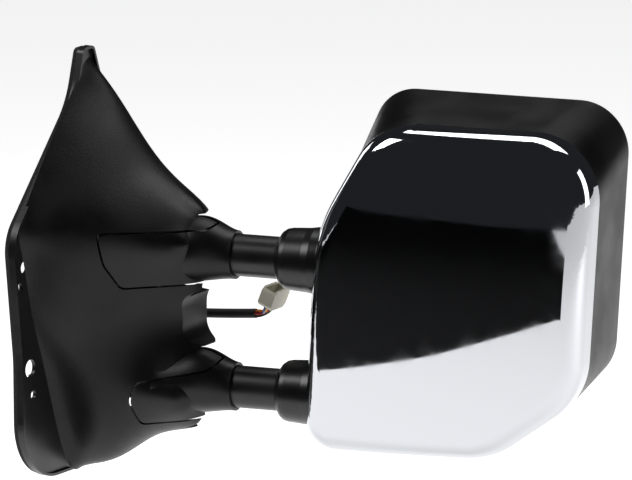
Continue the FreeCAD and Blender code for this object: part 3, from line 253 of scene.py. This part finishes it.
# ---------------------------------------------------------------- harness
# Corner points in mm, the same as the part's own, from the grommet round to the plug.
CABLE_AT = Vector((0, 17, -14))
SLEEVE_PATH = [(-7, 0, 0), (-20, 0.2, 0), (-33, 0.4, -0.5), (-44.5, 7, -1.5), (-51, 18.5, -2.5),
               (-51, 32, -3.5), (-44.5, 43.5, -4.5), (-33, 50, -5.5), (-15, 51, -6.5),
               (12, 50, -7), (42, 48, -7.5), (74, 47, -6.5), (107, 47, -4), (140, 46, 0)]
SLEEVE_RADIUS = 3.85
WIRE_RADIUS = 0.9
WIRE_GAP = 3.4
WIRE_COLOURS = ["2a4a9c", "d8b52a", "d8702a", "a82a26", "161616", "3f8a4a"]
PLUG_LEAN = math.radians(22 - 90)
# The plug's rear face from the sleeve's end, and the wires' straight run up to it.
PLUG_OFFSET = Vector((13, 0, 8))
WIRE_TAIL = 5
# A wire starts just inside the sleeve's mouth and runs straight on for a little.
WIRE_INSET = 0.4
WIRE_START = Vector((0.3, 0, 0))
WIRE_LEAD = Vector((6, 0, 0.4))
CURVE_ORDER = 3


def curve(name, points, radius, mat):
    """A round tube that follows the points as a smooth curve ending on its end points."""
    data = bpy.data.curves.new(name, "CURVE")
    data.dimensions = "3D"
    data.bevel_depth = radius * MM
    data.bevel_resolution = 6
    data.use_fill_caps = True
    line = data.splines.new("NURBS")
    line.points.add(len(points) - 1)
    for item, at in zip(line.points, points):
        item.co = (*(at * MM), 1.0)
    line.order_u = CURVE_ORDER
    line.use_endpoint_u = True
    line.resolution_u = 12
    data.materials.append(mat)
    obj = bpy.data.objects.new(name, data)
    bpy.context.scene.collection.objects.link(obj)
    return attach(obj, "base")


def make_harness():
    """The sleeve, its six coloured wires and the plug that they enter."""
    sleeve = [CABLE_AT + Vector(at) for at in SLEEVE_PATH]
    tube = curve("harness_sleeve", sleeve, SLEEVE_RADIUS, FINISH["sleeving"])
    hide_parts("harness_cable")
    end = sleeve[-1]
    plug = Matrix.Translation(end + PLUG_OFFSET) @ Matrix.Rotation(PLUG_LEAN, 4, "Y")
    for i, colour in enumerate(WIRE_COLOURS):
        turn = 2 * math.pi * i / len(WIRE_COLOURS)
        out = SLEEVE_RADIUS - WIRE_RADIUS - WIRE_INSET
        off = Vector((0, math.cos(turn), math.sin(turn))) * out
        slot = (i - (len(WIRE_COLOURS) - 1) / 2) * WIRE_GAP
        path = [end + off + WIRE_START, end + off + WIRE_LEAD,
                plug @ Vector((-WIRE_TAIL, slot, 0)), plug @ Vector((0, slot, 0))]
        skin = moulded("PVC wire skin %d" % i, colour, 0.35, 3.0, 0.004)
        curve("harness_wire_%d" % i, path, WIRE_RADIUS, skin)
    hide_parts("harness_wires")


make_harness()


# ---------------------------------------------------------------- studio
def panel(name, size_m, at, mat):
    """A flat card in the X-Y plane."""
    bpy.ops.mesh.primitive_plane_add(size=1, location=at)
    obj = bpy.context.object
    obj.name = name
    obj.scale = (*size_m, 1)
    obj.data.materials.append(mat)
    return obj


def lamp(name, at, target, size_m, watts, colour="ffffff"):
    """A rectangular soft box aimed at target."""
    data = bpy.data.lights.new(name, "AREA")
    data.shape = "RECTANGLE"
    data.size, data.size_y = size_m
    data.energy = watts
    data.color = linear(colour)[:3]
    obj = bpy.data.objects.new(name, data)
    obj.location = at
    obj.rotation_mode = "QUATERNION"
    obj.rotation_quaternion = (Vector(at) - Vector(target)).to_track_quat("Z", "Y")
    bpy.context.scene.collection.objects.link(obj)


# The dark mat's corners on the floor, in metres: its near edge slants away outboard.
MAT_CORNERS = [(-6, -0.4), (-0.1, -0.5), (0.2, -0.75), (0.72, -1.3), (1.9, -11), (-6, -11)]
FLOOR_Z = -0.31
MAT_LIFT = 0.01
FLOOR_SIZE = 24
FLOOR_GLOW = 0.8


def make_mat(mat):
    """A black mat that only reflections show; it casts no shadow."""
    data = bpy.data.meshes.new("mat_ahead")
    data.from_pydata([(x, y, FLOOR_Z + MAT_LIFT) for x, y in MAT_CORNERS], [],
                     [tuple(range(len(MAT_CORNERS)))])
    data.materials.append(mat)
    obj = bpy.data.objects.new("mat_ahead", data)
    bpy.context.scene.collection.objects.link(obj)
    obj.visible_camera = False
    obj.visible_shadow = False
    obj.visible_diffuse = False


def make_studio():
    """White floor, a dark mat ahead of the mirror for its cap to reflect, and soft boxes."""
    world = bpy.data.worlds.new("studio")
    world.use_nodes = True
    world.node_tree.nodes["Background"].inputs["Color"].default_value = linear("3a3b3e")
    world.node_tree.nodes["Background"].inputs["Strength"].default_value = 0.5
    bpy.context.scene.world = world
    white, shade, _ = material("white paper sweep", "f4f4f3", 0.9)
    shade.inputs["Emission Color"].default_value = linear("ffffff")
    shade.inputs["Emission Strength"].default_value = FLOOR_GLOW
    panel("floor", (FLOOR_SIZE, FLOOR_SIZE), (0.2, 1, FLOOR_Z), white)
    dark, _, _ = material("black felt", "0a0a0b", 0.95)
    make_mat(dark)
    middle = (0.2, 0, 0)
    lamp("key", (-1.0, -1.2, 1.5), middle, (0.9, 0.9), 17)
    lamp("top", (0.3, 0.5, 1.7), middle, (1.6, 1.0), 18)
    lamp("right", (1.9, 0.4, 0.5), middle, (0.7, 1.2), 9)
    lamp("left", (-1.6, 0.4, 0.4), middle, (0.6, 1.2), 5)


make_studio()
bpy.context.scene.view_settings.view_transform = "Standard"
